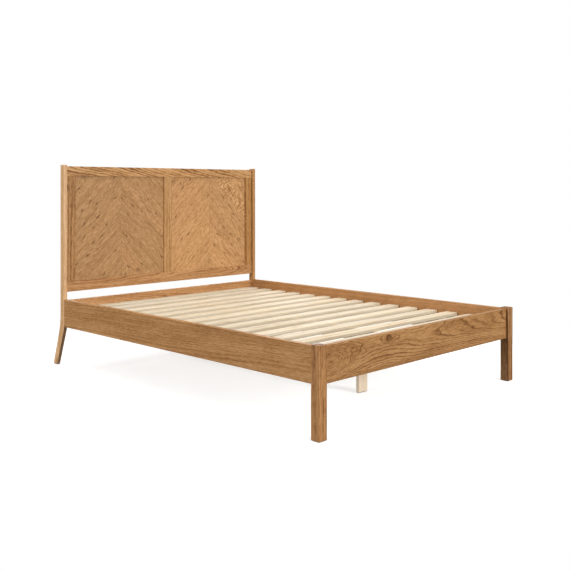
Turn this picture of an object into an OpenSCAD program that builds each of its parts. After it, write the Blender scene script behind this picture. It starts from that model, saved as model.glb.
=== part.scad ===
// King-size wooden bed frame: a framed headboard with two parquet panels between
// thin swept-back posts, a low foot end with square posts, side rails, and a slatted
// deck on ledgers and a forked-leg centre beam.
// X runs across the bed, +Y towards the head, +Z up. The origin is on the floor at
// the middle of the overall box.

/* [Overall] */
// Length from the foot posts' front faces to the swept heels of the head posts
overall_l = 2200; // [2150:10:2300]
// Width over the two foot posts
overall_w = 1590; // [1390:10:1700]
// Height of the head posts
overall_h = 1206; // [1100:1:1300]

/* [Posts] */
// Side of the square foot posts
foot_post = 48; // [44:1:60]
// Height that the foot posts stand above the rails
post_rise = 6; // [0:1:20]
// Thickness of the head posts, across the bed
head_post_w = 22; // [20:1:25]
// Depth of the head posts, along the bed
head_post_d = 42; // [40:1:60]
// Angle from vertical of the swept legs' rear edge
rear_splay = 18; // [14:1:20]
// Angle from vertical of the swept legs' front edge
front_splay = 20; // [12:1:22]

/* [Rails] */
// Thickness of the side, foot and head rails
rail_t = 25; // [22:1:28]
// Depth of the side and foot rails
rail_h = 164; // [160:1:190]
// Height of the top edge of the side and foot rails
rail_top = 400; // [360:1:430]
// Distance of the rails' outer faces behind the foot posts' faces
rail_setback = 13; // [8:1:16]
// Depth of the rail between the head posts, under the headboard
cross_rail_h = 150; // [140:1:160]
// Drop of that rail's top edge below the side rails
cross_rail_drop = 8; // [0:1:10]

/* [Headboard] */
// Height of the headboard's lower edge
board_bottom = 442; // [430:1:520]
// Drop of the headboard's top edge below the post tops
board_drop = 8; // [0:1:20]
// Thickness of the headboard's frame
board_t = 24; // [22:1:26]
// Distance of the frame's front behind the head posts' front faces
board_setback = 12; // [4:1:12]
// Width of the top rail
top_rail_w = 58; // [54:1:80]
// Width of the bottom rail
bottom_rail_w = 64; // [54:1:80]
// Width of the three upright stiles
stile_w = 64; // [56:1:80]
// Thickness of the parquet panels
panel_t = 9; // [6:1:10]
// Depth of the panels' faces behind the frame's front
panel_recess = 9; // [4:1:9]

/* [Slatted deck] */
// Number of slats
slat_count = 15; // [12:1:17]
// Width of a slat
slat_w = 70; // [60:1:80]
// Thickness of a slat
slat_t = 18; // [15:1:22]
// Depth of the slats' top faces below the rails' top edge
deck_depth = 55; // [45:1:59]
// Thickness of the centre beam
beam_t = 25; // [22:1:28]
// Depth of the centre beam
beam_h = 60; // [55:1:62]
// Width of a centre leg
leg_w = 70; // [66:1:90]
// Thickness of a centre leg
leg_t = 20; // [18:1:25]
// Spacing of the three centre legs along the bed
leg_spacing = 638; // [560:1:650]

/* [Hidden] */
LEG_COUNT = 3;
LEGS = [for (i = [1:LEG_COUNT]) str("centre_leg_", i)];
SLATS = [for (i = [1:slat_count]) str("slat_", i)];

// Colours
oak = [0.72, 0.52, 0.32];
oak_dark = [0.66, 0.46, 0.27];
parquet = [0.70, 0.52, 0.34];
pine = [0.91, 0.82, 0.67];
beech = [0.85, 0.70, 0.50];
steel = [0.70, 0.71, 0.72];
plastic = [0.24, 0.19, 0.15];

// Small shared sizes
EPS = 0.01;             // overrun of a cut past the face it opens
BORE_CLEAR = 0.2;       // diameter that a bore has over what it holds
GAP = 2;                // room left at the ends of loose pieces
$fn = 24;

// Plastic glides under every leg
glide_h = 3;
glide_inset = 4;

// Faces along X, for the right-hand side
half_w = overall_w / 2;
post_in = half_w - foot_post;            // inner face of a foot post
rail_out = half_w - rail_setback;        // outer face of a side rail and a head post
rail_in = rail_out - rail_t;             // inner face of a side rail
board_half = rail_out - head_post_w;     // inner face of a head post

// Bends of the swept legs: radius and the height where each starts
rear_r = 340;
rear_z = 305;
front_r = 150;
front_z = 255;
BEND_STEPS = 8;

// Setback of a splayed edge at a drop below the start of its bend
function splay(drop, r, angle) =
  drop <= 0 ? 0
  : drop < r * sin(angle) ? r - sqrt(r * r - drop * drop)
  : r * (1 - cos(angle)) + (drop - r * sin(angle)) * tan(angle);

// Faces along Y
foot_y = -overall_l / 2;                                   // front of the foot posts
post_back = foot_y + foot_post;                            // back of the foot posts
foot_rail_y = foot_y + rail_setback;                       // outer face of the foot rail
foot_in = foot_rail_y + rail_t;                            // inner face of the foot rail
heel_sweep = splay(rear_z - glide_h, rear_r, rear_splay);
head_y = overall_l / 2 - heel_sweep - head_post_d;         // front of the head posts
board_y = head_y + board_setback;                          // front of the headboard's frame

// Heights
rail_bottom = rail_top - rail_h;
cross_top = rail_top - cross_rail_drop;
cross_bottom = cross_top - cross_rail_h;
deck_top = rail_top - deck_depth;
slat_bottom = deck_top - slat_t;
board_top = overall_h - board_drop;
stile_bottom = board_bottom + bottom_rail_w;
stile_top = board_top - top_rail_w;

// Headboard joinery
groove_depth = 8;
groove_w = panel_t + 0.3;
panel_fit = 0.5;                          // room between a panel's edge and its groove
panel_y = board_y + panel_recess + panel_t / 2;
shadow_w = 4;                             // rebate between the frame and the posts
shadow_d = 10;
frame_dowel_y = board_y + board_t / 2;
frame_dowel_d = 8;
frame_dowel_l = 36;
post_dowel_depth = 14;                    // length of a dowel inside a head post
stile_dowel_x = stile_w / 4;              // dowels either side of a stile's middle
end_dowel_edge = 12;                      // from a rail's outer edge to its first end dowel
end_dowel_pitch = 18;
top_dowel_z = [board_top - end_dowel_edge, board_top - end_dowel_edge - end_dowel_pitch];
bottom_dowel_z = [board_bottom + end_dowel_edge, board_bottom + end_dowel_edge + end_dowel_pitch];
cross_dowel_rise = [35, 90];              // above the cross rail's lower edge
cross_dowel_z = [for (rise = cross_dowel_rise) cross_bottom + rise];
stile_x = [-1, 0, 1] * (board_half - stile_w / 2);

// Rail joinery
rail_dowel_d = 10;
rail_dowel_l = 40;
foot_dowel_rise = [54, 94, 134];          // above the rails' lower edge
side_dowel_rise = [74, 114];
foot_dowel_z = [for (rise = foot_dowel_rise) rail_bottom + rise];
side_dowel_z = [for (rise = side_dowel_rise) rail_bottom + rise];
side_dowel_x = rail_out - head_post_w / 2;

// Steel brackets in the corners, under the ledgers
steel_t = 2.5;
bracket_rise = 8;                         // above the rails' lower edge
bracket_z = rail_bottom + bracket_rise;
bracket_h = 44;
bracket_mid = bracket_z + bracket_h / 2;
flange_l = 45;
web_reach = 70;                           // from the rails' inner corner to the diagonal web
arm_l = 60;
screw_d = 4;
screw_l = 18;
screw_head_d = 8.5;
screw_head_h = 2.4;
screw_head_taper = 0.72;                  // a pan head's top diameter over its lower one
flange_screws = [0.3, 0.75];              // shares of a flange's length
arm_screws = [0.45, 0.8];                 // shares of an arm's length

// Hanger bolts through the diagonal webs into the foot posts
bolt_d = 8;
bolt_hole_d = 8.6;
bolt_in_post = 32;
bolt_tail = 14;                           // length past the web
bolt_end_gap = 1;                         // room at the bottom of the bore
washer_d = 20;
washer_t = 1.6;
nut_af = 13;
nut_h = 6.5;

// Deck supports
ledger_w = 25;
ledger_h = 35;
ledger_y0 = post_back + GAP;
ledger_y1 = board_y - GAP;
ledger_x = rail_in - ledger_w / 2;
slat_l = 2 * (rail_in - GAP);
slat_y0 = ledger_y0 + GAP + slat_w / 2;
slat_pitch = (ledger_y1 - slat_w - 2 * GAP - ledger_y0) / (slat_count - 1);
slat_screw_l = 36;
ledger_screw_l = 40;

// Centre beam, its hangers and its forked legs
beam_bottom = slat_bottom - beam_h;
beam_gap = steel_t + 1;
beam_y0 = foot_in + beam_gap;
beam_y1 = board_y - beam_gap;
beam_mid = (foot_in + board_y) / 2;
hanger_reach = 45;
hanger_w = 76;
hanger_fit = 0.3;                         // room each side of the beam
hanger_drop = 10;                         // of the cheeks' top edges below the slats
hanger_screw_edge = 9;                    // from the plate's edge to a screw
hanger_screws = [0.25, 0.75];             // shares of the beam's depth
fork_depth = 46;
leg_bolt_tail = 12;                       // length past the leg
leg_bolt_l = leg_w + leg_bolt_tail;
leg_bolt_rise = 24;                       // above the beam's lower edge
leg_bolt_z = beam_bottom + leg_bolt_rise;
bolt_head_d = 16;
bolt_head_h = 4;

// Position of the middle of slat i, counted from 1 at the foot
function slat_y(i) = slat_y0 + (i - 1) * slat_pitch;

// Position of the middle of centre leg i, counted from 1 at the foot
function leg_y(i) = beam_mid + (i - (LEG_COUNT + 1) / 2) * leg_spacing;

// ---- shared shapes ----

// A board between two opposite corners
module board(from, to) {
  translate(from) cube(to - from);
}

// A round bar along X, Y or Z, starting at a point
module bar_x(at, d, l) { translate(at) rotate([0, 90, 0]) cylinder(d = d, h = l); }
module bar_y(at, d, l) { translate(at) rotate([-90, 0, 0]) cylinder(d = d, h = l); }
module bar_z(at, d, l) { translate(at) cylinder(d = d, h = l); }

// The same piece on the left side, -1, or the right side, 1
module on_side(side) {
  if (side < 0) mirror([1, 0, 0]) children();
  else children();
}

// A pan-head screw along -Z: the head's underside is at the origin
module screw(l) {
  translate([0, 0, -l]) cylinder(d = screw_d, h = l);
  cylinder(d1 = screw_head_d, d2 = screw_head_d * screw_head_taper, h = screw_head_h);
}

// A countersunk screw along -Z: the top of its head is at the origin
module sunk_screw(l) {
  translate([0, 0, -l]) cylinder(d = screw_d, h = l);
  translate([0, 0, -screw_head_h]) cylinder(d1 = screw_d, d2 = screw_head_d, h = screw_head_h);
}

// The bore for a countersunk screw, a little larger all round
module sunk_bore(l) {
  translate([0, 0, -l]) cylinder(d = screw_d + BORE_CLEAR, h = l + EPS);
  translate([0, 0, -screw_head_h])
    cylinder(d1 = screw_d, d2 = screw_head_d + BORE_CLEAR, h = screw_head_h + EPS);
}

// A hexagonal nut on the Z axis
module nut() {
  difference() {
    cylinder(d = nut_af / cos(30), h = nut_h, $fn = 6);
    translate([0, 0, -EPS]) cylinder(d = bolt_d, h = nut_h + 2 * EPS);
  }
}

// ---- headboard ----

// Side outline of a head post: straight above, swept back to the floor below
module head_post_outline() {
  rear = [for (i = [0:BEND_STEPS]) rear_z - rear_r * sin(rear_splay) * i / BEND_STEPS];
  front = [for (i = [BEND_STEPS:-1:0]) front_z - front_r * sin(front_splay) * i / BEND_STEPS];
  polygon(concat(
    [[0, overall_h], [head_post_d, overall_h]],
    [for (z = rear) [head_post_d + splay(rear_z - z, rear_r, rear_splay), z]],
    [[head_post_d + heel_sweep, glide_h]],
    [[splay(front_z - glide_h, front_r, front_splay), glide_h]],
    [for (z = front) [splay(front_z - z, front_r, front_splay), z]]
  ));
}

module head_post(side) {
  bore = frame_dowel_d + BORE_CLEAR;
  color(oak) on_side(side) difference() {
    translate([board_half, head_y, 0]) rotate([90, 0, 90]) linear_extrude(head_post_w)
      head_post_outline();
    for (z = concat(top_dowel_z, bottom_dowel_z, cross_dowel_z))
      bar_x([board_half - EPS, frame_dowel_y, z], bore, post_dowel_depth + EPS);
    for (z = side_dowel_z)
      bar_y([side_dowel_x, head_y - EPS, z], rail_dowel_d + BORE_CLEAR, rail_dowel_l / 2);
  }
}

// The rebate that leaves a shadow line beside each post
module shadow_rebate() {
  for (side = [-1, 1]) on_side(side)
    board([board_half - shadow_w, board_y - EPS, board_bottom - EPS],
          [board_half + EPS, board_y + shadow_d, board_top + EPS]);
}

// A groove for the panels' edges, between two heights over the whole width
module panel_groove(z0, z1) {
  board([-board_half - EPS, panel_y - groove_w / 2, z0],
        [board_half + EPS, panel_y + groove_w / 2, z1]);
}

// Dowel bores at the ends of a cross piece
module end_bores(heights) {
  depth = frame_dowel_l - post_dowel_depth;
  for (side = [-1, 1], z = heights) on_side(side)
    bar_x([board_half - depth, frame_dowel_y, z], frame_dowel_d + BORE_CLEAR, depth + EPS);
}

// Dowel bores for the stiles, up or down from a rail's edge
module stile_bores(z0) {
  for (x = stile_x, dx = [-stile_dowel_x, stile_dowel_x])
    bar_z([x + dx, frame_dowel_y, z0], frame_dowel_d + BORE_CLEAR, frame_dowel_l);
}

module headboard_top_rail() {
  color(oak_dark) difference() {
    board([-board_half, board_y, stile_top], [board_half, board_y + board_t, board_top]);
    panel_groove(stile_top - EPS, stile_top + groove_depth);
    shadow_rebate();
    end_bores(top_dowel_z);
    stile_bores(stile_top - frame_dowel_l / 2);
  }
}

module headboard_bottom_rail() {
  color(oak_dark) difference() {
    board([-board_half, board_y, board_bottom], [board_half, board_y + board_t, stile_bottom]);
    panel_groove(stile_bottom - groove_depth, stile_bottom + EPS);
    shadow_rebate();
    end_bores(bottom_dowel_z);
    stile_bores(stile_bottom - frame_dowel_l / 2);
  }
}

// Stile 0 is the left one, 1 the centre one and 2 the right one
module headboard_stile(i) {
  grooved = [i > 0, i < 2];               // left edge, right edge
  color(oak) difference() {
    board([stile_x[i] - stile_w / 2, board_y, stile_bottom],
          [stile_x[i] + stile_w / 2, board_y + board_t, stile_top]);
    for (k = [0, 1]) if (grooved[k])
      translate([stile_x[i] + (2 * k - 1) * stile_w / 2, panel_y, stile_bottom - EPS])
        translate([-groove_depth, -groove_w / 2, 0])
          cube([2 * groove_depth, groove_w, stile_top - stile_bottom + 2 * EPS]);
    shadow_rebate();
    stile_bores(stile_bottom - frame_dowel_l / 2);
    stile_bores(stile_top - frame_dowel_l / 2);
  }
}

module headboard_panel(side) {
  reach = groove_depth - panel_fit;
  color(parquet) on_side(side)
    board([stile_w / 2 - reach, panel_y - panel_t / 2, stile_bottom - reach],
          [board_half - stile_w + reach, panel_y + panel_t / 2, stile_top + reach]);
}

module headboard_dowels() {
  color(beech) {
    for (x = stile_x, dx = [-stile_dowel_x, stile_dowel_x], z = [stile_bottom, stile_top])
      bar_z([x + dx, frame_dowel_y, z - frame_dowel_l / 2 + GAP / 2], frame_dowel_d, frame_dowel_l - GAP);
    for (side = [-1, 1], z = concat(top_dowel_z, bottom_dowel_z, cross_dowel_z)) on_side(side)
      bar_x([board_half + post_dowel_depth - frame_dowel_l + GAP / 2, frame_dowel_y, z],
            frame_dowel_d, frame_dowel_l - GAP);
  }
}

module head_cross_rail() {
  color(oak_dark) difference() {
    board([-board_half, board_y, cross_bottom], [board_half, board_y + rail_t, cross_top]);
    end_bores(cross_dowel_z);
    head_bracket_bores();
    hanger_bores();
  }
}

// ---- rails and foot end ----

module side_rail(side) {
  color(oak) on_side(side) difference() {
    board([rail_in, post_back, rail_bottom], [rail_out, head_y, rail_top]);
    for (z = side_dowel_z) {
      bar_y([side_dowel_x, post_back - EPS, z], rail_dowel_d + BORE_CLEAR, rail_dowel_l / 2);
      bar_y([side_dowel_x, head_y - rail_dowel_l / 2, z],
            rail_dowel_d + BORE_CLEAR, rail_dowel_l / 2 + EPS);
    }
    foot_bracket_bores();
    head_bracket_bores();
    ledger_bores();
  }
}

module foot_post(side) {
  color(oak) on_side(side) difference() {
    board([post_in, foot_y, glide_h], [half_w, post_back, rail_top + post_rise]);
    for (z = foot_dowel_z)
      bar_x([post_in - EPS, foot_rail_y + rail_t / 2, z], rail_dowel_d + BORE_CLEAR, rail_dowel_l / 2);
    for (z = side_dowel_z)
      bar_y([side_dowel_x, post_back - rail_dowel_l / 2, z],
            rail_dowel_d + BORE_CLEAR, rail_dowel_l / 2 + EPS);
    hanger_line() translate([0, 0, -bolt_in_post - EPS])
      cylinder(d = bolt_d + BORE_CLEAR, h = bolt_in_post + GAP);
  }
}

module foot_rail() {
  color(oak_dark) difference() {
    board([-post_in, foot_rail_y, rail_bottom], [post_in, foot_in, rail_top]);
    for (side = [-1, 1], z = foot_dowel_z) on_side(side)
      bar_x([post_in - rail_dowel_l / 2, foot_rail_y + rail_t / 2, z],
            rail_dowel_d + BORE_CLEAR, rail_dowel_l / 2 + EPS);
    for (side = [-1, 1]) on_side(side) foot_bracket_bores();
    hanger_bores();
  }
}

module rail_dowels() {
  l = rail_dowel_l - GAP;
  color(beech) for (side = [-1, 1]) on_side(side) {
    for (z = foot_dowel_z) bar_x([post_in - l / 2, foot_rail_y + rail_t / 2, z], rail_dowel_d, l);
    for (y = [post_back, head_y], z = side_dowel_z) bar_y([side_dowel_x, y - l / 2, z], rail_dowel_d, l);
  }
}

// ---- corner brackets ----

// Places children on the hanger bolt's line: Z leaves the post's inner corner diagonally
module hanger_line() {
  translate([post_in, post_back, bracket_mid]) rotate([0, 0, 135]) rotate([0, 90, 0]) children();
}

// Distance from the post's inner corner to the web's near face
web_dist = (web_reach - (rail_in - post_in) - (post_back - foot_in)) / sqrt(2);

module foot_bracket(side) {
  t = steel_t;
  bend = t * tan(22.5);
  color(steel) on_side(side) difference() {
    translate([rail_in, foot_in, bracket_z]) linear_extrude(bracket_h) polygon([
      [0, web_reach], [0, web_reach + flange_l], [-t, web_reach + flange_l], [-t, web_reach + bend],
      [-web_reach - bend, t], [-web_reach - flange_l, t], [-web_reach - flange_l, 0], [-web_reach, 0]
    ]);
    foot_bracket_bores();
    hanger_line() translate([0, 0, web_dist - 2 * t]) cylinder(d = bolt_hole_d, h = 4 * t);
  }
}

// Screw places on a foot bracket's two flanges
module foot_bracket_screws() {
  for (k = flange_screws) {
    translate([rail_in - steel_t, foot_in + web_reach + flange_l * k, bracket_mid])
      rotate([0, -90, 0]) children();
    translate([rail_in - web_reach - flange_l * k, foot_in + steel_t, bracket_mid])
      rotate([-90, 0, 0]) children();
  }
}

module foot_bracket_bores() {
  foot_bracket_screws() translate([0, 0, -screw_l]) cylinder(d = screw_d + BORE_CLEAR, h = screw_l + EPS);
}

module head_bracket(side) {
  t = steel_t;
  color(steel) on_side(side) difference() {
    translate([rail_in, board_y, bracket_z]) linear_extrude(bracket_h) polygon([
      [0, 0], [0, -arm_l], [-t, -arm_l], [-t, -t], [-arm_l, -t], [-arm_l, 0]
    ]);
    head_bracket_bores();
  }
}

// Screw places on a head bracket's two arms
module head_bracket_screws() {
  for (k = arm_screws) {
    translate([rail_in - steel_t, board_y - arm_l * k, bracket_mid]) rotate([0, -90, 0]) children();
    translate([rail_in - arm_l * k, board_y - steel_t, bracket_mid]) rotate([90, 0, 0]) children();
  }
}

module head_bracket_bores() {
  for (side = [-1, 1]) on_side(side)
    head_bracket_screws() translate([0, 0, -screw_l]) cylinder(d = screw_d + BORE_CLEAR, h = screw_l + EPS);
}

module bracket_screws() {
  color(steel) for (side = [-1, 1]) on_side(side) {
    foot_bracket_screws() screw(screw_l);
    head_bracket_screws() screw(screw_l);
  }
}

module hanger_bolts() {
  length = bolt_in_post + web_dist + steel_t + bolt_tail - bolt_end_gap;
  color(steel) for (side = [-1, 1]) on_side(side)
    hanger_line() translate([0, 0, bolt_end_gap - bolt_in_post]) cylinder(d = bolt_d, h = length);
}

module hanger_nuts() {
  color(steel) for (side = [-1, 1]) on_side(side) hanger_line() translate([0, 0, web_dist + steel_t]) {
    difference() {
      cylinder(d = washer_d, h = washer_t);
      translate([0, 0, -EPS]) cylinder(d = bolt_hole_d, h = washer_t + 2 * EPS);
    }
    translate([0, 0, washer_t]) nut();
  }
}

// ---- slatted deck ----

module slat_ledger(side) {
  color(pine) on_side(side) difference() {
    board([rail_in - ledger_w, ledger_y0, slat_bottom - ledger_h], [rail_in, ledger_y1, slat_bottom]);
    ledger_bores();
    slat_bores();
  }
}

// Screw places on a ledger's inner face, in every second gap between slats
module ledger_screw_places() {
  for (i = [1:2:slat_count - 1])
    translate([rail_in - ledger_w, slat_y(i) + slat_pitch / 2, slat_bottom - ledger_h / 2])
      rotate([0, -90, 0]) children();
}

module ledger_bores() {
  ledger_screw_places() translate([0, 0, -ledger_screw_l])
    cylinder(d = screw_d + BORE_CLEAR, h = ledger_screw_l + EPS);
}

module ledger_screws() {
  color(steel) for (side = [-1, 1]) on_side(side) ledger_screw_places() screw(ledger_screw_l);
}

// Bores for the screws through all the slats into a ledger
module slat_bores() {
  for (i = [1:slat_count])
    bar_z([ledger_x, slat_y(i), deck_top - slat_screw_l], screw_d + BORE_CLEAR, slat_screw_l + EPS);
}

module slat(i) {
  color(pine) difference() {
    board([-slat_l / 2, slat_y(i) - slat_w / 2, slat_bottom],
          [slat_l / 2, slat_y(i) + slat_w / 2, deck_top]);
    for (side = [-1, 1]) on_side(side)
      translate([ledger_x, slat_y(i), deck_top]) sunk_bore(slat_t + EPS);
  }
}

module slat_screws() {
  color(steel) for (side = [-1, 1], i = [1:slat_count]) on_side(side)
    translate([ledger_x, slat_y(i), deck_top]) sunk_screw(slat_screw_l);
}

module centre_beam() {
  color(pine) difference() {
    board([-beam_t / 2, beam_y0, beam_bottom], [beam_t / 2, beam_y1, slat_bottom]);
    for (i = [1:LEG_COUNT])
      bar_x([-beam_t, leg_y(i), leg_bolt_z], bolt_d + BORE_CLEAR, 2 * beam_t);
  }
}

// A stirrup on a rail's inner face, facing +Y from the foot
module beam_hanger(end) {
  inner = beam_t / 2 + hanger_fit;
  outer = inner + steel_t;
  y = end < 0 ? foot_in : board_y;
  color(steel) translate([0, y, 0]) mirror([0, end < 0 ? 0 : 1, 0]) difference() {
    union() {
      board([-hanger_w / 2, 0, beam_bottom - steel_t], [hanger_w / 2, steel_t, slat_bottom]);
      board([-outer, 0, beam_bottom - steel_t], [outer, hanger_reach, slat_bottom - hanger_drop]);
    }
    board([-inner, steel_t, beam_bottom], [inner, hanger_reach + EPS, slat_bottom + EPS]);
    hanger_screw_places() translate([0, 0, -2 * steel_t])
      cylinder(d = screw_d + BORE_CLEAR, h = 4 * steel_t);
  }
}

// Screw places on a stirrup's back plate, in the plate's own place
module hanger_screw_places() {
  for (side = [-1, 1], k = hanger_screws)
    translate([side * (hanger_w / 2 - hanger_screw_edge), steel_t, beam_bottom + k * beam_h])
      rotate([-90, 0, 0]) children();
}

// Screw places on both stirrups
module both_hanger_screws() {
  translate([0, foot_in, 0]) hanger_screw_places() children();
  translate([0, board_y, 0]) mirror([0, 1, 0]) hanger_screw_places() children();
}

module hanger_bores() {
  both_hanger_screws() translate([0, 0, -screw_l]) cylinder(d = screw_d + BORE_CLEAR, h = screw_l + EPS);
}

module beam_hanger_screws() {
  color(steel) both_hanger_screws() screw(screw_l);
}

module centre_leg(i) {
  slot = beam_t / 2 + hanger_fit;
  top = beam_bottom + fork_depth;
  color(pine) difference() {
    board([-leg_w / 2, leg_y(i) - leg_t / 2, glide_h], [leg_w / 2, leg_y(i) + leg_t / 2, top]);
    board([-slot, leg_y(i) - leg_t, beam_bottom], [slot, leg_y(i) + leg_t, top + EPS]);
    bar_x([-leg_w, leg_y(i), leg_bolt_z], bolt_d + BORE_CLEAR, 2 * leg_w);
  }
}

module leg_bolts() {
  color(steel) for (i = [1:LEG_COUNT]) {
    bar_x([-leg_w / 2, leg_y(i), leg_bolt_z], bolt_d, leg_bolt_l);
    bar_x([-leg_w / 2 - bolt_head_h, leg_y(i), leg_bolt_z], bolt_head_d, bolt_head_h);
  }
}

module leg_nuts() {
  color(steel) for (i = [1:LEG_COUNT])
    translate([leg_w / 2, leg_y(i), leg_bolt_z]) rotate([0, 90, 0]) nut();
}

// ---- floor glides ----

module floor_glides() {
  heel_y = head_y + splay(front_z - glide_h, front_r, front_splay);
  color(plastic) {
    for (side = [-1, 1]) on_side(side) {
      board([post_in + glide_inset, foot_y + glide_inset, 0],
            [half_w - glide_inset, post_back - glide_inset, glide_h]);
      board([board_half + glide_inset, heel_y + glide_inset, 0],
            [rail_out - glide_inset, overall_l / 2 - glide_inset, glide_h]);
    }
    for (i = [1:LEG_COUNT])
      board([-leg_w / 2 + glide_inset, leg_y(i) - leg_t / 2 + glide_inset, 0],
            [leg_w / 2 - glide_inset, leg_y(i) + leg_t / 2 - glide_inset, glide_h]);
  }
}

// ---- assembly ----

head_post(-1);  // head_post_left
head_post(1);  // head_post_right
headboard_top_rail();
headboard_bottom_rail();
headboard_stile(0);  // headboard_stile_left
headboard_stile(1);  // headboard_stile_centre
headboard_stile(2);  // headboard_stile_right
headboard_panel(-1);  // headboard_panel_left
headboard_panel(1);  // headboard_panel_right
head_cross_rail();
side_rail(-1);  // side_rail_left
side_rail(1);  // side_rail_right
foot_post(-1);  // foot_post_left
foot_post(1);  // foot_post_right
foot_rail();
slat_ledger(-1);  // slat_ledger_left
slat_ledger(1);  // slat_ledger_right
centre_beam();
beam_hanger(-1);  // beam_hanger_foot
beam_hanger(1);  // beam_hanger_head
for (i = [1:LEG_COUNT]) centre_leg(i);
for (i = [1:slat_count]) slat(i);
foot_bracket(-1);  // foot_bracket_left
foot_bracket(1);  // foot_bracket_right
head_bracket(-1);  // head_bracket_left
head_bracket(1);  // head_bracket_right
headboard_dowels();
rail_dowels();
hanger_bolts();
hanger_nuts();
bracket_screws();
beam_hanger_screws();
ledger_screws();
slat_screws();
leg_bolts();
leg_nuts();
floor_glides();
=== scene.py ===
# The looks of a king-size wooden bed frame: oak boards with the growth rings of a real log,
# parquet panels laid strip by strip, a pine slatted deck and zinc-plated fittings, on a pale
# floor in soft light. Lengths are in metres, in the frame's own axes: X across the bed, +Y
# towards the head, +Z up.
import math
import random
from collections import namedtuple

import bmesh
import bpy
from mathutils import Matrix, Vector


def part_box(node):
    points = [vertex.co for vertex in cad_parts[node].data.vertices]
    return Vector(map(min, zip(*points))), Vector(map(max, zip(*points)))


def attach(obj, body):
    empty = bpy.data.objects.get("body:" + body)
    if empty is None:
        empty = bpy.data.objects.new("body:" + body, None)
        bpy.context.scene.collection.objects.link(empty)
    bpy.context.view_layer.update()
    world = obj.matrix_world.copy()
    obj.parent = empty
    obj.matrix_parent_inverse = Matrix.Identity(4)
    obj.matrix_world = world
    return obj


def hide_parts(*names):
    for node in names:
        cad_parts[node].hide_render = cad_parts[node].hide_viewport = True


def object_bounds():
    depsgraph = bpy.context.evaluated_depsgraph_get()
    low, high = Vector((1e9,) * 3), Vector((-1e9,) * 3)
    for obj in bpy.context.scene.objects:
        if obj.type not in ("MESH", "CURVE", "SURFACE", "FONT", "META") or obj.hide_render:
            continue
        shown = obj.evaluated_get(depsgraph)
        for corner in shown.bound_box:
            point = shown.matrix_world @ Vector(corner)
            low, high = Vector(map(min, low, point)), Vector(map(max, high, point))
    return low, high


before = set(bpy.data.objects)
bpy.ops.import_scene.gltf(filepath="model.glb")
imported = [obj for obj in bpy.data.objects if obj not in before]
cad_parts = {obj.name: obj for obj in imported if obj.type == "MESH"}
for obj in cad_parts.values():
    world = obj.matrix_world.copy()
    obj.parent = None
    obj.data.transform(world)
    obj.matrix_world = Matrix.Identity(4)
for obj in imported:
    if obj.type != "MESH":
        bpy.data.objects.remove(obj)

CAD_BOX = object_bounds()
MM = 0.001

# ---- shared calls ----


def join_loops(bm, lower, upper):
    """A band of faces between two loops with as many points, counter-clockwise from above."""
    for i in range(len(lower)):
        j = (i + 1) % len(lower)
        bm.faces.new((lower[i], lower[j], upper[j], upper[i]))


def finished(bm, name):
    """The bmesh as a new mesh."""
    mesh = bpy.data.meshes.new(name)
    bm.to_mesh(mesh)
    bm.free()
    return mesh


def add_object(name, data):
    """A new object in the scene."""
    item = bpy.data.objects.new(name, data)
    bpy.context.scene.collection.objects.link(item)
    return item


# ---- camera ----

CAMERA_PLACE = (-3.3326, -3.4204, 1.070)
CAMERA_TURN = 45.17      # degrees clockwise from +Y
CAMERA_LENS = 51.88      # on a 36 mm sensor
CAMERA_SHIFT = -0.1711   # the horizon stands above the middle of the frame


def add_camera():
    """A level camera at chest height, off the near corner of the foot end."""
    optics = bpy.data.cameras.new("camera")
    optics.sensor_width = 36
    optics.lens = CAMERA_LENS
    optics.shift_y = CAMERA_SHIFT
    camera = add_object("camera", optics)
    camera.location = CAMERA_PLACE
    camera.rotation_euler = (math.radians(90), 0, math.radians(-CAMERA_TURN))
    bpy.context.scene.camera = camera


# ---- light and floor ----

SKY_LIGHT = 1.3          # light from straight above
HORIZON_LIGHT = 0.16     # light from the level and below, dim so that shade gathers under the bed
# name: place, side of the square, watts
LAMPS = {
    "key": ((1.2, -11.5, 3.0), 4.0, 1100),
    "fill": ((-12.0, 1.2, 2.4), 4.0, 800),
    "overhead": ((0.0, 0.0, 6.0), 5.0, 90),
    "back": ((7.0, 9.5, 3.0), 5.0, 460),
}
FLOOR_WHITE = 0.86
FLOOR_GLOW = 0.30        # lifts the shadows, which the white surround would fill in
FLOOR_CLEAR = 1.2        # radius of the full-strength floor
FLOOR_END = 2.6          # radius where it has faded into the background


def add_lamps():
    """Large soft lamps, all aimed at the middle of the bed, in an even white surround."""
    aim = (CAD_BOX[0] + CAD_BOX[1]) / 2
    for name, (place, side, watts) in LAMPS.items():
        lamp = bpy.data.lights.new(name, "AREA")
        lamp.shape = "SQUARE"
        lamp.size = side
        lamp.energy = watts
        holder = add_object(name, lamp)
        holder.location = place
        holder.rotation_euler = (aim - Vector(place)).to_track_quat("-Z", "Y").to_euler()
    world = bpy.data.worlds.new("studio")
    n = Nodes(world)
    height = n.separate(n.add("TexCoord").outputs["Generated"])[2]
    light = n.remap(height, 0.0, 1.0, HORIZON_LIGHT, SKY_LIGHT)
    seen = n.add("LightPath").outputs["Is Camera Ray"]
    strength = n.math("MAXIMUM", light, seen)
    background = n.add("Background", {"Color": (1, 1, 1, 1), "Strength": strength})
    n.add("OutputWorld", {"Surface": background.outputs[0]})
    bpy.context.scene.world = world
    bpy.context.scene.view_settings.view_transform = "Standard"


# ---- short calls that build shader nodes ----


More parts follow.
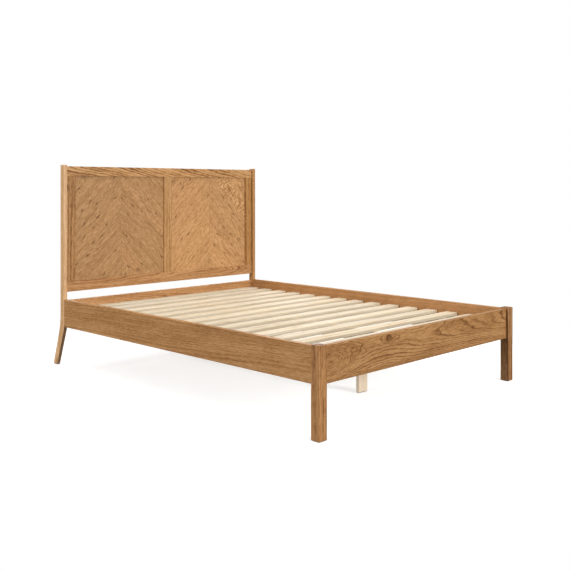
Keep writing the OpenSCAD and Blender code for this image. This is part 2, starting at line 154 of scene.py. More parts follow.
class Nodes:
    """Adds linked nodes to a material or world. Apart from add, feed and surface, each call
    returns the new node's output socket."""

    def __init__(self, owner):
        owner.use_nodes = True
        self.tree = owner.node_tree
        self.tree.nodes.clear()

    def add(self, kind, inputs=None, **settings):
        """A node with its settings. Each of its inputs is a value or another node's output."""
        node = self.tree.nodes.new("ShaderNode" + kind)
        for name, value in settings.items():
            setattr(node, name, value)
        for name, value in (inputs or {}).items():
            self.feed(node.inputs[name], value)
        return node

    def feed(self, socket, value):
        if isinstance(value, bpy.types.NodeSocket):
            self.tree.links.new(value, socket)
        else:
            socket.default_value = value

    def attribute(self, name, output="Fac"):
        return self.add("Attribute", attribute_name=name).outputs[output]

    def math(self, operation, *values):
        return self.add("Math", dict(enumerate(values)), operation=operation).outputs[0]

    def vector(self, operation, *values):
        node = self.add("VectorMath", dict(enumerate(values)), operation=operation)
        return node.outputs["Value" if operation in ("LENGTH", "DOT_PRODUCT") else "Vector"]

    def noise(self, place, stretch, detail=2.0, roughness=0.5, output=0):
        spread = self.vector("MULTIPLY", place, stretch)
        inputs = {"Vector": spread, "Scale": 1.0, "Detail": detail, "Roughness": roughness}
        return self.add("TexNoise", inputs).outputs[output]

    def noise_along(self, value, scale, detail=2.0):
        inputs = {"W": value, "Scale": scale, "Detail": detail}
        return self.add("TexNoise", inputs, noise_dimensions="1D").outputs[0]

    def cells(self, place, stretch, output="Distance"):
        spread = self.vector("MULTIPLY", place, stretch)
        return self.add("TexVoronoi", {"Vector": spread, "Scale": 1.0}).outputs[output]

    def remap(self, value, low, high, new_low=0.0, new_high=1.0):
        inputs = {0: value, 1: low, 2: high, 3: new_low, 4: new_high}
        return self.add("MapRange", inputs, interpolation_type="SMOOTHSTEP").outputs[0]

    def ramp(self, value, stops):
        node = self.add("ValToRGB", {0: value})
        elements = node.color_ramp.elements
        while len(elements) < len(stops):
            elements.new(0.5)
        for element, (at, colour) in zip(elements, stops):
            element.position = at
            element.color = (*colour, 1)
        return node.outputs[0]

    def mix(self, factor, first, second, blend="MIX"):
        inputs = {0: factor, 6: first, 7: second}
        return self.add("Mix", inputs, data_type="RGBA", blend_type=blend).outputs[2]

    def separate(self, vector):
        return self.add("SeparateXYZ", {0: vector}).outputs

    def combine(self, x, y, z):
        return self.add("CombineXYZ", {0: x, 1: y, 2: z}).outputs[0]

    def surface(self, colour, roughness, height, depth, **fixed):
        """The finished surface. Fixed values go on the shader's own sockets."""
        bump = self.add("Bump", {"Height": height, "Distance": depth, "Strength": 1.0})
        shader = self.add("BsdfPrincipled", {
            "Base Color": colour,
            "Roughness": roughness,
            "Normal": bump.outputs[0],
        })
        for name, value in fixed.items():
            shader.inputs[name.replace("_", " ")].default_value = value
        output = self.add("OutputMaterial")
        self.tree.links.new(shader.outputs[0], output.inputs["Surface"])


def srgb(*levels):
    """A linear colour from its usual 0 to 255 levels of red, green and blue, all above 10."""
    return tuple(pow((level / 255 + 0.055) / 1.055, 2.4) for level in levels)


# ---- wood ----

# Four tones from the palest late wood to the darkest pores, how much of the contrast comes from
# broad bands, single rings, fibres and short streaks, how strong the pores, flecks and blotches
# are, how many blotches there are to the metre along and across, then the roughness, the depth
# of the relief in mm and the gloss
Wood = namedtuple(
    "Wood", "pale warm dark deep band ring fibre streak pore fleck mottle patch rough bump gloss"
)

OAK = Wood(
    pale=srgb(193, 147, 101), warm=srgb(162, 114, 66), dark=srgb(106, 63, 26), deep=srgb(64, 36, 15),
    band=0.26, ring=0.62, fibre=0.24, streak=0.32, pore=0.6, fleck=0.0, mottle=0.10, patch=(3, 16),
    rough=0.50, bump=0.35, gloss=0.3,
)
PARQUET = Wood(
    pale=srgb(197, 155, 109), warm=srgb(168, 125, 79), dark=srgb(117, 76, 36), deep=srgb(82, 49, 21),
    band=0.16, ring=0.22, fibre=0.24, streak=0.42, pore=0.55, fleck=0.95, mottle=0.17, patch=(34, 80),
    rough=0.50, bump=0.3, gloss=0.3,
)
PINE = Wood(
    pale=srgb(244, 230, 206), warm=srgb(234, 215, 184), dark=srgb(212, 182, 140), deep=srgb(168, 124, 80),
    band=0.34, ring=0.42, fibre=0.16, streak=0.08, pore=0.0, fleck=0.12, mottle=0.10, patch=(3, 16),
    rough=0.62, bump=0.3, gloss=0.3,
)
BEECH = Wood(
    pale=srgb(226, 190, 146), warm=srgb(214, 174, 128), dark=srgb(190, 146, 100), deep=srgb(150, 106, 66),
    band=0.20, ring=0.16, fibre=0.20, streak=0.10, pore=0.2, fleck=0.5, mottle=0.08, patch=(3, 16),
    rough=0.6, bump=0.2, gloss=0.3,
)

# A knot or swelling: its place along and across the grain from the piece's middle, how far it
# reaches across the grain and how many times further along it, how far it pushes the rings
# aside, and the radius of its dark core
Knot = namedtuple("Knot", "along across reach stretch push core")

MIDTONE = 0.40           # where the middle tone sits between the palest and the darkest
LOG_BEND = 0.034         # how far slow bends and small waves move the rings
LOG_WAVE = 0.0045
FLECK_CELLS = (13, 56, 56)   # flecks to the metre, along and across the grain
RIPPLE_TONE = 0.4        # how much a crossing figure, end grain and a knot's core darken the wood
END_TONE = 0.25
CORE_TONE = 0.55
CORE_STAIN = 0.12        # share of the darkest tone in a knot's core


def wood_material(name, wood, knots=()):
    """Wood cut from a log. The "grain" attribute holds each point's place in the log, X along
    the heart, so that boards show arches on their faces, straight lines on their edges and ring
    arcs on their ends. "ring" is the width of a growth ring, "bold" how strongly the grain
    shows, "figure" how strongly a second one crosses it, and "tint" the piece's own colour, which on the
    left head post also holds painted light.
    "board" is a point's place in its board, which places the knots. "arris" is 1 on rounded
    edges and "end" on end grain."""
    material = bpy.data.materials.new(name)
    n = Nodes(material)
    place = n.attribute("grain", "Vector")
    ring_width = n.attribute("ring")
    arris = n.attribute("arris")
    end = n.attribute("end")
    tint = n.attribute("tint", "Vector")

    # The log is never a perfect cylinder: slow bends, then small waves
    half = (0.5, 0.5, 0.5)
    slow = n.vector("SUBTRACT", n.noise(place, (1.1, 5, 5), 1.0, output=1), half)
    quick = n.vector("SUBTRACT", n.noise(place, (7, 34, 34), 2.0, output=1), half)
    bent = n.vector("ADD", place, n.vector("MULTIPLY", slow, (0, LOG_BEND, LOG_BEND)))
    bent = n.vector("ADD", bent, n.vector("MULTIPLY", quick, (0, LOG_WAVE, LOG_WAVE)))
    radius = n.vector("LENGTH", n.vector("MULTIPLY", bent, (0, 1, 1)))

    # Knots push the rings aside and have dark cores with ragged outlines
    dark_core = 0.0
    for knot in knots:
        ragged = n.vector("MULTIPLY", quick, (0.07, 0.05, 0))
        away = n.vector("ADD", n.attribute("board", "Vector"), ragged)
        away = n.vector("SUBTRACT", away, (knot.along, knot.across, 0))
        away = n.vector("LENGTH", n.vector("MULTIPLY", away, (1 / knot.stretch, 1, 0)))
        share = n.math("DIVIDE", away, knot.reach)
        swell = n.math("DIVIDE", 1.0, n.math("ADD", n.math("MULTIPLY", share, share), 1.0))
        radius = n.math("ADD", radius, n.math("MULTIPLY", swell, knot.push))
        core = n.remap(away, knot.core * 0.4, knot.core, 1.0, 0.0)
        dark_core = n.math("MAXIMUM", dark_core, core)

    # Rings: a number that rises by one from each growth ring to the next
    uneven = n.math("MULTIPLY", n.noise_along(radius, 30.0, 1.0), 2.2)
    number = n.math("ADD", n.math("DIVIDE", radius, ring_width), uneven)
    phase = n.math("FRACT", number)
    early = n.math("MULTIPLY", n.remap(phase, 0.0, 0.06), n.remap(phase, 0.12, 0.46, 1.0, 0.0))
    chance = n.add("TexWhiteNoise", {"W": n.math("FLOOR", number)}, noise_dimensions="1D").outputs[0]
    line = n.math("MULTIPLY", early, n.remap(chance, 0.0, 1.0, 0.35, 1.0))
    band = n.remap(n.noise_along(number, 0.31, 2.0), 0.36, 0.68)

    # Fibres, and pores that are long dark dashes in the early wood
    fine = n.noise(place, (5, 420, 420), 2.0)
    coarse = n.noise(place, (1.6, 75, 75), 4.0, 0.6)
    fibre = n.math("ADD", n.math("MULTIPLY", fine, 0.4), n.math("MULTIPLY", coarse, 0.6))
    fibre = n.remap(fibre, 0.36, 0.64)
    streak = n.remap(n.noise(place, (30, 185, 185), 3.0, 0.7), 0.37, 0.63)
    dash = n.remap(n.cells(place, (45, 1500, 1500)), 0.16, 0.42, 1.0, 0.0)
    pores = n.math("MULTIPLY", dash, n.math("ADD", n.math("MULTIPLY", early, 0.85), 0.15))

    # Blotches of colour, and short dark flecks
    along, across = wood.patch
    blotch = n.remap(n.noise(place, (along, across, across), 3.0), 0.3, 0.7, -1.0, 1.0)
    spot = n.cells(place, FLECK_CELLS)
    spot = n.math("ADD", spot, n.math("MULTIPLY", n.noise(place, (90, 260, 260), 2.0), 0.34))
    picked = n.remap(n.separate(n.cells(place, FLECK_CELLS, "Color"))[0], 0.64, 0.72)
    flecks = n.math("MULTIPLY", n.remap(spot, 0.28, 0.43, 1.0, 0.0), picked)

    # A figure that crosses the grain, on the strips that have one
    ripple = n.remap(n.noise(place, (95, 30, 30), 1.0), 0.40, 0.60, -0.5, 0.5)
    ripple = n.math("MULTIPLY", ripple, n.attribute("figure"))

    # The tone, from 0 for the palest to 1, then the colours
    value = n.math("MULTIPLY", band, wood.band)
    shares = [
        (line, wood.ring), (fibre, wood.fibre), (streak, wood.streak), (blotch, wood.mottle),
        (ripple, RIPPLE_TONE), (end, END_TONE), (dark_core, CORE_TONE),
    ]
    for part, weight in shares:
        value = n.math("ADD", value, n.math("MULTIPLY", part, weight))
    whole = wood.band + wood.ring + wood.fibre + wood.streak
    share = n.math("SUBTRACT", n.math("DIVIDE", value, whole), MIDTONE)
    share = n.math("ADD", n.math("MULTIPLY", share, n.attribute("bold")), MIDTONE)
    stops = [(0.0, wood.pale), (MIDTONE, wood.warm), (0.9, wood.dark), (1.0, wood.dark)]
    colour = n.ramp(share, stops)
    colour = n.mix(n.math("MULTIPLY", pores, wood.pore), colour, (*wood.deep, 1))
    colour = n.mix(n.math("MULTIPLY", flecks, wood.fleck), colour, (*wood.deep, 1))
    if knots:
        colour = n.mix(n.math("MULTIPLY", dark_core, CORE_STAIN), colour, (*wood.deep, 1))

    # Rounded edges are rubbed paler in places
    wear = n.remap(n.noise(place, (9, 40, 40), 2.0), 0.35, 0.65, 0.05, 0.35)
    colour = n.mix(n.math("MULTIPLY", arris, wear), colour, (*wood.pale, 1))
    colour = n.mix(1.0, colour, tint, "MULTIPLY")

    # Pores and early wood are rougher and lower, and rubbed edges a little smoother
    rough = n.math("ADD", n.math("MULTIPLY", line, 0.08), n.math("MULTIPLY", fibre, 0.07))
    rough = n.math("ADD", n.math("ADD", rough, wood.rough), n.math("MULTIPLY", pores, 0.15))
    rough = n.math("ADD", rough, n.math("MULTIPLY", arris, -0.04))
    height = n.math("SUBTRACT", n.math("MULTIPLY", fibre, 0.25), pores)
    height = n.math("SUBTRACT", height, n.math("MULTIPLY", early, 0.3))
    n.surface(colour, rough, height, wood.bump * MM, Specular_IOR_Level=wood.gloss)
    return material


# ---- pieces copied from the frame ----

AXES = {"X": Vector((1, 0, 0)), "Y": Vector((0, 1, 0)), "Z": Vector((0, 0, 1))}
WELD = 0.002 * MM        # points closer than this are one
FLAT = math.radians(0.5)     # faces that meet at less are one
SQUARE_EDGE = math.radians(40)   # outer edges sharper than this are rounded
CREASE = math.radians(32)    # edges sharper than this don't shade smoothly
ROUND_OVER = 2.0 * MM    # radius of a wooden board's edges
LONG_EDGE = 4 * MM       # shorter edges of a board stay sharp, as round its bores


def axis(name):
    """X, Y or Z, with a minus sign in front for the other way."""
    return -AXES[name[1]] if name[0] == "-" else AXES[name].copy()


def refine(node, suffix, round_r, shortest):
    """A copy of a CAD node's mesh with clean flat faces, whose long outer edges are rounded.
    The rounded strips are marked in the "arris" attribute."""
    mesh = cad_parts[node].data.copy()
    mesh.materials.clear()
    old_normals = mesh.attributes.get("custom_normal")
    if old_normals:
        mesh.attributes.remove(old_normals)
    bm = bmesh.new()
    bm.from_mesh(mesh)
    bmesh.ops.remove_doubles(bm, verts=bm.verts, dist=WELD)
    bmesh.ops.dissolve_limit(bm, angle_limit=FLAT, verts=bm.verts, edges=bm.edges)
    arris = bm.faces.layers.float.new("arris")
    outer = [
        edge for edge in bm.edges
        if len(edge.link_faces) == 2 and edge.is_convex
        and edge.calc_face_angle() > SQUARE_EDGE and edge.calc_length() > shortest
    ]
    rounded = bmesh.ops.bevel(
        bm, geom=outer, offset=round_r, offset_type="OFFSET", segments=3, profile=0.5,
        affect="EDGES", clamp_overlap=True,
    )
    for face in rounded["faces"]:
        face[arris] = 1.0
    for face in bm.faces:
        face.smooth = True
    bm.normal_update()
    bm.to_mesh(mesh)
    bm.free()
    mesh.set_sharp_from_angle(angle=CREASE)
    piece = add_object(f"{node}_{suffix}", mesh)
    piece.modifiers.new("even_shading", "WEIGHTED_NORMAL").keep_sharp = True
    return piece


def stand_in(piece, node):
    """The piece is shown in the CAD node's place, under the root body, and the CAD node is hidden."""
    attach(piece, "root")
    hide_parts(node)


# ---- grain of each board ----

# How a board was cut: its length and its best face, the log's heart from the board's middle
# (across the face, behind it), how far the heart dips behind the face and slants across it in
# degrees, the ring width in mm, how bold its figure is, and the piece's tint: its own colour,
# and on the left head post also painted light
Cut = namedtuple("Cut", "along face heart dip slant ring bold tint")

PLAIN_TINT = (1, 1, 1)
LOG_STEP = 7.31          # distance along the log from one seed's board to the next, in metres
BEARER_TINT = (0.82, 0.81, 0.80)     # ledgers and centre beam
LEG_TINT = (0.96, 0.93, 0.96)        # centre legs


def log_frame(middle, cut):
    """The matrix that takes a point of the bed to its place in the log, and the one that turns
    the bed's axes to the board's own, for a board with its middle here."""
    along = axis(cut.along)
    face = axis(cut.face)
    across = face.cross(along)
    board = Matrix((along, across, -face))
    dip = Matrix.Rotation(math.radians(cut.dip), 3, "Y")
    slant = Matrix.Rotation(math.radians(cut.slant), 3, "Z")
    log = (dip @ slant @ board).to_4x4()
    heart = Vector((0, cut.heart[0] * MM, cut.heart[1] * MM))
    return Matrix.Translation(-heart) @ log @ Matrix.Translation(-middle), board


def set_points(mesh, name, kind, values):
    """Writes one attribute with a value for each point."""
    layer = mesh.attributes.new(name, kind, "POINT")
    layer.data.foreach_set("vector" if kind == "FLOAT_VECTOR" else "value", values)


def lay_grain(piece, cut, seed):
    """Gives a board its place in the log. The seed shifts it along the log."""
    mesh = piece.data
    middle = (Vector(piece.bound_box[0]) + Vector(piece.bound_box[6])) / 2
    to_log, board = log_frame(middle, cut)
    count = len(mesh.vertices)
    shift = Vector((seed * LOG_STEP, 0, 0))
    grain = [c for v in mesh.vertices for c in to_log @ v.co + shift]
    flat = [c for v in mesh.vertices for c in board @ (v.co - middle)]
    set_points(mesh, "grain", "FLOAT_VECTOR", grain)
    set_points(mesh, "board", "FLOAT_VECTOR", flat)
    set_points(mesh, "ring", "FLOAT", [cut.ring * MM] * count)
    set_points(mesh, "bold", "FLOAT", [cut.bold] * count)
    set_points(mesh, "tint", "FLOAT_VECTOR", list(cut.tint) * count)
    along = axis(cut.along)
    across_grain = [float(abs(p.normal.dot(along)) > 0.7) for p in mesh.polygons]
    mesh.attributes.new("end", "FLOAT", "FACE").data.foreach_set("value", across_grain)


OAK_CUTS = {
    # The left head post's pale tint is partly its lighter wood and partly painted light, standing in for
    # the brighter light that falls on the head end.
    "head_post_left": Cut("Z", "-X", (22, 60), 0.3, 0.4, 3.2, 0.8, (1.51, 1.84, 2.52)),
    "head_post_right": Cut("Z", "-X", (-6, 64), -0.3, 0.2, 3.4, 1.0, (1.08, 1.09, 0.96)),
    "headboard_top_rail": Cut("X", "-Y", (70, 150), -4.6, 2.0, 6.5, 2.2, (0.99, 0.99, 0.90)),
    "headboard_bottom_rail": Cut("X", "-Y", (30, 120), 1.2, 1.5, 4.0, 1.0, PLAIN_TINT),
    "headboard_stile_left": Cut("Z", "-Y", (50, 50), 0.7, 0.5, 3.6, 2.7, (0.79, 0.75, 0.60)),
    "headboard_stile_centre": Cut("Z", "-Y", (70, 60), 0.2, 0.4, 3.2, 1.2, (1.06, 1.12, 1.09)),
    "headboard_stile_right": Cut("Z", "-Y", (58, 40), 0.3, -0.5, 4.2, 2.5, (0.86, 0.80, 0.57)),
    "head_cross_rail": Cut("X", "-Y", (10, 120), 1.4, 0.8, 4.4, 1.0, PLAIN_TINT),
    "side_rail_left": Cut("Y", "-X", (150, 70), 0.9, -1.2, 2.7, 1.15, (0.96, 0.96, 0.90)),
    "side_rail_right": Cut("Y", "X", (-40, 100), 0.7, 0.6, 3.4, 0.6, PLAIN_TINT),
    "foot_post_left": Cut("Z", "-Y", (56, 60), 0.8, 0.5, 4.6, 2.2, (0.79, 0.72, 0.60)),
    "foot_post_right": Cut("Z", "-Y", (-34, 70), 0.9, -0.5, 4.4, 1.8, (0.69, 0.66, 0.61)),
    "foot_rail": Cut("X", "-Y", (50, 240), -1.6, -0.8, 3.6, 1.3, (0.79, 0.77, 0.67)),
}
OAK_SEEDS = {"foot_rail": 21}        # the other boards count from 0

# Boards with knots, each from its own material
KNOTS = {
    "foot_rail": (
        Knot(-0.730, -0.004, 0.082, 2.0, -0.058, 0.001),
        Knot(-0.304, 0.060, 0.019, 2.4, -0.013, 0.013),
        Knot(0.188, 0.054, 0.012, 1.8, -0.009, 0.004),
        Knot(0.400, 0.094, 0.022, 3.6, -0.010, 0.001),
    ),
    "headboard_stile_left": (
        Knot(-0.180, -0.024, 0.012, 4.0, -0.006, 0.001),
        Knot(0.060, -0.030, 0.016, 7.0, -0.008, 0.001),
    ),
}


def add_oak():
    """The solid oak boards of the headboard, rails and posts."""
    oak = wood_material("oak", OAK)
    for seed, (node, cut) in enumerate(OAK_CUTS.items()):
        piece = refine(node, "oak", ROUND_OVER, LONG_EDGE)
        lay_grain(piece, cut, OAK_SEEDS.get(node, seed))
        knotty = wood_material(f"oak_{node}", OAK, KNOTS[node]) if node in KNOTS else oak
        piece.data.materials.append(knotty)
        stand_in(piece, node)


# ---- parquet panels ----

STRIP_W = 80 * MM        # width of a veneer strip
STRIP_T = 1.0 * MM       # thickness of the veneer
SEAM = 0.5 * MM          # width of the seam between strips
SEAM_DEPTH = 0.4 * MM
STRIP_EDGE = 0.15 * MM   # chamfer round a strip's face
STRIP_BOLD = 0.6         # how strongly its growth rings show
PANEL_SEED = 5

PANEL_SHADES = {"headboard_panel_left": 0.98, "headboard_panel_right": 1.18}

# Strips that show a lively figure across their grain, by side and count from below
FIGURED = {
    "headboard_panel_left": {(1, 5): 0.6, (-1, 7): 0.5},
    "headboard_panel_right": {(1, 6): 1.8, (1, 7): 0.8},
}


def clip(outline, normal, limit):
    """The part of a flat outline where point . normal is at most limit."""
    kept = []
    for here, after in zip(outline, outline[1:] + outline[:1]):
        a = here.dot(normal) - limit
        b = after.dot(normal) - limit
        if a <= 0:
            kept.append(here)
        if a * b < 0:
            kept.append(here.lerp(after, a / (a - b)))
    return kept


def shrink(outline, by):
    """A convex outline, counter-clockwise, moved inwards on every side."""
    inner = outline
    for here, after in zip(outline, outline[1:] + outline[:1]):
        side = (after - here).normalized()
        outward = Vector((side.y, -side.x))
        inner = clip(inner, outward, here.dot(outward) - by)
    return inner


def oblong(low, high, x0, x1):
    """The outline (X, Z) of a panel between two places along X, counter-clockwise."""
    corners = ((x0, low.z), (x1, low.z), (x1, high.z), (x0, high.z))
    return [Vector(corner) for corner in corners]


def chevron_strips(low, high):
    """Outlines (X, Z) of strips that climb at 45 degrees to a vertical joint in the middle of the
    panel, each with its grain's direction, and with its side and its count from below."""
    middle = (low.x + high.x) / 2
    rise = STRIP_W * math.sqrt(2)
    count = math.ceil((high.z - low.z + middle - low.x) / rise)
    strips = []
    for side in (-1, 1):
        x0, x1 = (low.x, middle) if side < 0 else (middle, high.x)
        half = oblong(low, high, x0, x1)
        across = Vector((side, 1)) / math.sqrt(2)
        for step in range(count):
            start = (low.z + step * rise + side * middle) / math.sqrt(2)
            outline = clip(clip(half, across, start + STRIP_W), -across, -start)
            if len(outline) > 2:
                strips.append((outline, Vector((-side, 1)) / math.sqrt(2), (side, step)))
    return strips


def add_prism(bm, outline, y0, y1, chamfer):
    """A closed slab over an (X, Z) outline between two Y planes, chamfered round its y1 face. An
    outline too small for its seams gives none."""
    if len(shrink(outline, SEAM / 2 + chamfer)) < 3:
        return
    step = SEAM_DEPTH if y1 > y0 else -SEAM_DEPTH
    levels = [(y0, SEAM / 2), (y1 - step, SEAM / 2), (y1, SEAM / 2 + chamfer)]
    rings = [[bm.verts.new((p.x, y, p.y)) for p in shrink(outline, by)] for y, by in levels]
    if len({len(ring) for ring in rings}) > 1:
        raise ValueError("a strip's chamfer changed its outline")
    bm.faces.new(rings[0])
    bm.faces.new(list(reversed(rings[-1])))
    for lower, upper in zip(rings, rings[1:]):
        join_loops(bm, upper, lower)


def add_parquet(node, seed):
    """A panel of veneer strips on both faces of a core, each strip from its own log."""
    low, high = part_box(node)
    dice = random.Random(seed)
    base = PANEL_SHADES[node]
    bm = bmesh.new()
    grain = bm.verts.layers.float_vector.new("grain")
    ring = bm.verts.layers.float.new("ring")
    bold = bm.verts.layers.float.new("bold")
    tint = bm.verts.layers.float_vector.new("tint")
    figure = bm.verts.layers.float.new("figure")
    inset = STRIP_T - SEAM_DEPTH / 2
    core = oblong(low, high, low.x, high.x)
    slabs = [(core, Vector((0, 1)), None, high.y - inset, low.y + inset)]
    for outer, inner in ((low.y, low.y + STRIP_T), (high.y, high.y - STRIP_T)):
        slabs += [(*strip, inner, outer) for strip in chevron_strips(low, high)]
    for outline, way, count, y0, y1 in slabs:
        known = set(bm.verts)
        add_prism(bm, outline, y0, y1, STRIP_EDGE)
        centre = sum(outline, Vector((0, 0))) / len(outline)
        along = Vector((way.x, 0, way.y))
        across = Vector((way.y, 0, -way.x))
        heart = Vector((dice.uniform(0, 9), dice.uniform(-50, 50) * MM, dice.uniform(40, 120) * MM))
        dip = math.tan(math.radians(dice.uniform(-2.5, 2.5)))
        shade = dice.uniform(0.95, 1.05)
        yellow = dice.uniform(0.99, 1.01)
        width = dice.uniform(3.0, 5.0) * MM
        for vert in set(bm.verts) - known:
            off = vert.co - Vector((centre.x, low.y, centre.y))
            u = off.dot(along)
            vert[grain] = heart + Vector((u, off.dot(across), off.y + u * dip))
            vert[ring] = width
            vert[bold] = STRIP_BOLD
            vert[tint] = (base * shade, base * shade * yellow, base * shade)
            vert[figure] = FIGURED[node].get(count, 0.0)
    bmesh.ops.recalc_face_normals(bm, faces=bm.faces)
    piece = add_object(f"{node}_parquet", finished(bm, f"{node}_parquet"))
    stand_in(piece, node)
    return piece


def add_panels():
    """Both parquet panels of the headboard."""
    parquet = wood_material("parquet", PARQUET)
    for seed, node in enumerate(("headboard_panel_left", "headboard_panel_right")):
        piece = add_parquet(node, seed + PANEL_SEED)
        piece.data.materials.append(parquet)


# ---- slatted deck ----

DECK_SEED = 11
PINE_SEED = 40
PINE_CUTS = {
    "slat_ledger_left": Cut("Y", "X", (0, 40), 0.6, 0.4, 3.0, 1.0, BEARER_TINT),
    "slat_ledger_right": Cut("Y", "-X", (10, 50), 0.4, -0.5, 3.4, 1.0, BEARER_TINT),
    "centre_beam": Cut("Y", "X", (-12, 60), 0.5, 0.3, 3.2, 1.0, BEARER_TINT),
}


def add_pine():
    """Ledgers, centre beam, slats and centre legs."""
    pine = wood_material("pine", PINE)
    dice = random.Random(DECK_SEED)
    cuts = dict(PINE_CUTS)
    for node in sorted(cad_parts):
        heart = (dice.uniform(-40, 40), dice.uniform(30, 90))
        tilt = (dice.uniform(-1.4, 1.4), dice.uniform(-1.0, 1.0))
        shade = dice.uniform(0.71, 0.80)
        if node.startswith("slat_") and node[5:].isdigit():
            tint = (shade, shade, shade)
            cuts[node] = Cut("X", "Z", heart, *tilt, dice.uniform(2.6, 4.2), 1.0, tint)
        if node.startswith("centre_leg_"):
            cuts[node] = Cut("Z", "-Y", heart, *tilt, 3.4, 0.6, LEG_TINT)
    for seed, (node, cut) in enumerate(cuts.items()):
        piece = refine(node, "pine", ROUND_OVER, LONG_EDGE)
        lay_grain(piece, cut, seed + PINE_SEED)
        piece.data.materials.append(pine)
        stand_in(piece, node)


# ---- dowels, fittings and feet ----

DOWEL_CUT = Cut("X", "-Y", (0, 30), 0, 0, 2.4, 1.0, PLAIN_TINT)
BEECH_SEED = 80


def add_dowels():
    """Beech dowels, hidden in the joints."""
    beech = wood_material("beech", BEECH)
    for seed, node in enumerate(("headboard_dowels", "rail_dowels")):
        piece = refine(node, "beech", 0.8 * MM, 0.1 * MM)
        lay_grain(piece, DOWEL_CUT, seed + BEECH_SEED)
        piece.data.materials.append(beech)
        stand_in(piece, node)


def zinc_material():
    """Bright zinc plating with a fine spangle, faint passivation colour and dull handling marks."""
    material = bpy.data.materials.new("zinc_steel")
    n = Nodes(material)
    place = n.add("TexCoord").outputs["Object"]
    spangle = n.separate(n.cells(place, (420, 420, 420), "Color"))[0]
    cloud = n.remap(n.noise(place, (60, 60, 60), 3.0), 0.3, 0.7)
    scratch = n.noise(place, (900, 60, 900), 3.0)
    tones = [(0.0, srgb(176, 178, 180)), (0.6, srgb(192, 193, 192)), (1.0, srgb(200, 197, 186))]
    colour = n.ramp(cloud, tones)
    rough = n.math("ADD", n.math("MULTIPLY", spangle, 0.10), n.math("MULTIPLY", scratch, 0.20))
    rough = n.math("ADD", rough, 0.22)
    height = n.math("ADD", spangle, scratch)
    n.surface(colour, rough, height, 0.03 * MM, Metallic=1.0)
    return material


def plastic_material():
    """Dark brown moulded plastic with a fine spark-eroded texture, scuffed where it meets the floor."""
    material = bpy.data.materials.new("plastic")
    n = Nodes(material)
    place = n.add("TexCoord").outputs["Object"]
    texture = n.noise(place, (2200, 2200, 2200), 3.0, 0.6)
    cloud = n.remap(n.noise(place, (90, 90, 90), 2.0), 0.3, 0.7)
    near_floor = n.remap(n.separate(place)[2], 0.0, 1.2 * MM, 1.0, 0.0)
    scuff = n.remap(n.noise(place, (400, 900, 400), 4.0), 0.52, 0.62)
    worn = n.math("MULTIPLY", near_floor, scuff)
    colour = n.ramp(cloud, [(0.0, srgb(54, 43, 34)), (1.0, srgb(66, 53, 43))])
    colour = n.mix(n.math("MULTIPLY", worn, 0.5), colour, (*srgb(112, 98, 84), 1))
    rough = n.math("ADD", n.remap(texture, 0.3, 0.7, 0.44, 0.56), n.math("MULTIPLY", worn, 0.25))
    n.surface(colour, rough, texture, 0.08 * MM)
    return material


PLATE_NODES = (
    "foot_bracket_left", "foot_bracket_right", "head_bracket_left", "head_bracket_right",
    "beam_hanger_foot", "beam_hanger_head", "hanger_nuts", "leg_nuts",
)

# A screw or bolt, in mm: the height of its head, the shares of it that are flat on top and
# straight at the side (-1 for a countersunk head), the number of sides of its drive (4 is a
# cross), and its threads, each as the distances from the tip where it starts and ends, its pitch
# and its depth
Fastener = namedtuple("Fastener", "head flat wall drive threads")

PAN_SCREW = Fastener(2.4, 0.66, 0.3, 4, ((0, 13, 2.2, 0.55),))
SUNK_SCREW = Fastener(2.4, 0.97, -1, 4, ((0, 24, 2.2, 0.55),))
LEG_BOLT = Fastener(4.0, 0.62, 0.3, 6, ((0, 22, 1.25, 0.6),))
HANGER_BOLT = Fastener(0.0, 0.88, 1, 0, ((0, 27, 2.8, 0.9), (36, 90, 1.25, 0.6)))
FASTENERS = {
    "bracket_screws": PAN_SCREW,
    "beam_hanger_screws": PAN_SCREW,
    "ledger_screws": PAN_SCREW,
    "slat_screws": SUNK_SCREW,
    "leg_bolts": LEG_BOLT,
    "hanger_bolts": HANGER_BOLT,
}
THREAD_STEPS = 4         # levels in one turn of a thread
ROUND = 16               # sides of a shank or head
END_REACH = 3 * MM       # points this close to a bar's end belong to it
FITTINGS_SEED = 3


def islands(mesh):
    """The separate solids of a mesh, each as a list of its points."""
    bm = bmesh.new()
    bm.from_mesh(mesh)
    bmesh.ops.remove_doubles(bm, verts=bm.verts, dist=WELD)
    left = set(bm.verts)
    groups = []
    for start in bm.verts:
        if start not in left:
            continue
        left.remove(start)
        group = [start]
        for vert in group:
            for edge in vert.link_edges:
                other = edge.other_vert(vert)
                if other in left:
                    left.remove(other)
                    group.append(other)
        groups.append([vert.co.copy() for vert in group])
    bm.free()
    return groups


def rod_ends(points):
    """The middles of a round bar's two ends, the wider end last, with the radius at each."""
    first = max(points, key=lambda p: (p - points[0]).length)
    last = max(points, key=lambda p: (p - first).length)
    ends = []
    for tip, far in ((first, last), (last, first)):
        way = (tip - far).normalized()
        reach = max(p.dot(way) for p in points)
        near = [p for p in points if p.dot(way) > reach - END_REACH]
        ends.append(sum(near, Vector()) / len(near))
    way = (ends[1] - ends[0]).normalized()
    reaches = [p.dot(way) for p in points]
    found = []
    for end, reach, side in ((ends[0], min(reaches), 1), (ends[1], max(reaches), -1)):
        middle = end + way * (reach - end.dot(way))
        close = [p for p in points if side * (p.dot(way) - reach) < END_REACH]
        wide = max(((p - middle) - way * (p - middle).dot(way)).length for p in close)
        found.append((middle, wide))
    return sorted(found, key=lambda f: f[1])


def add_ring(bm, place, radius, z):
    """A loop of points round the Z axis. The radius may be a function of the angle's share."""
    loop = []
    for i in range(ROUND):
        turn = 2 * math.pi * i / ROUND
        r = radius(i / ROUND) if callable(radius) else radius
        loop.append(bm.verts.new(place @ Vector((r * math.cos(turn), r * math.sin(turn), z))))
    return loop


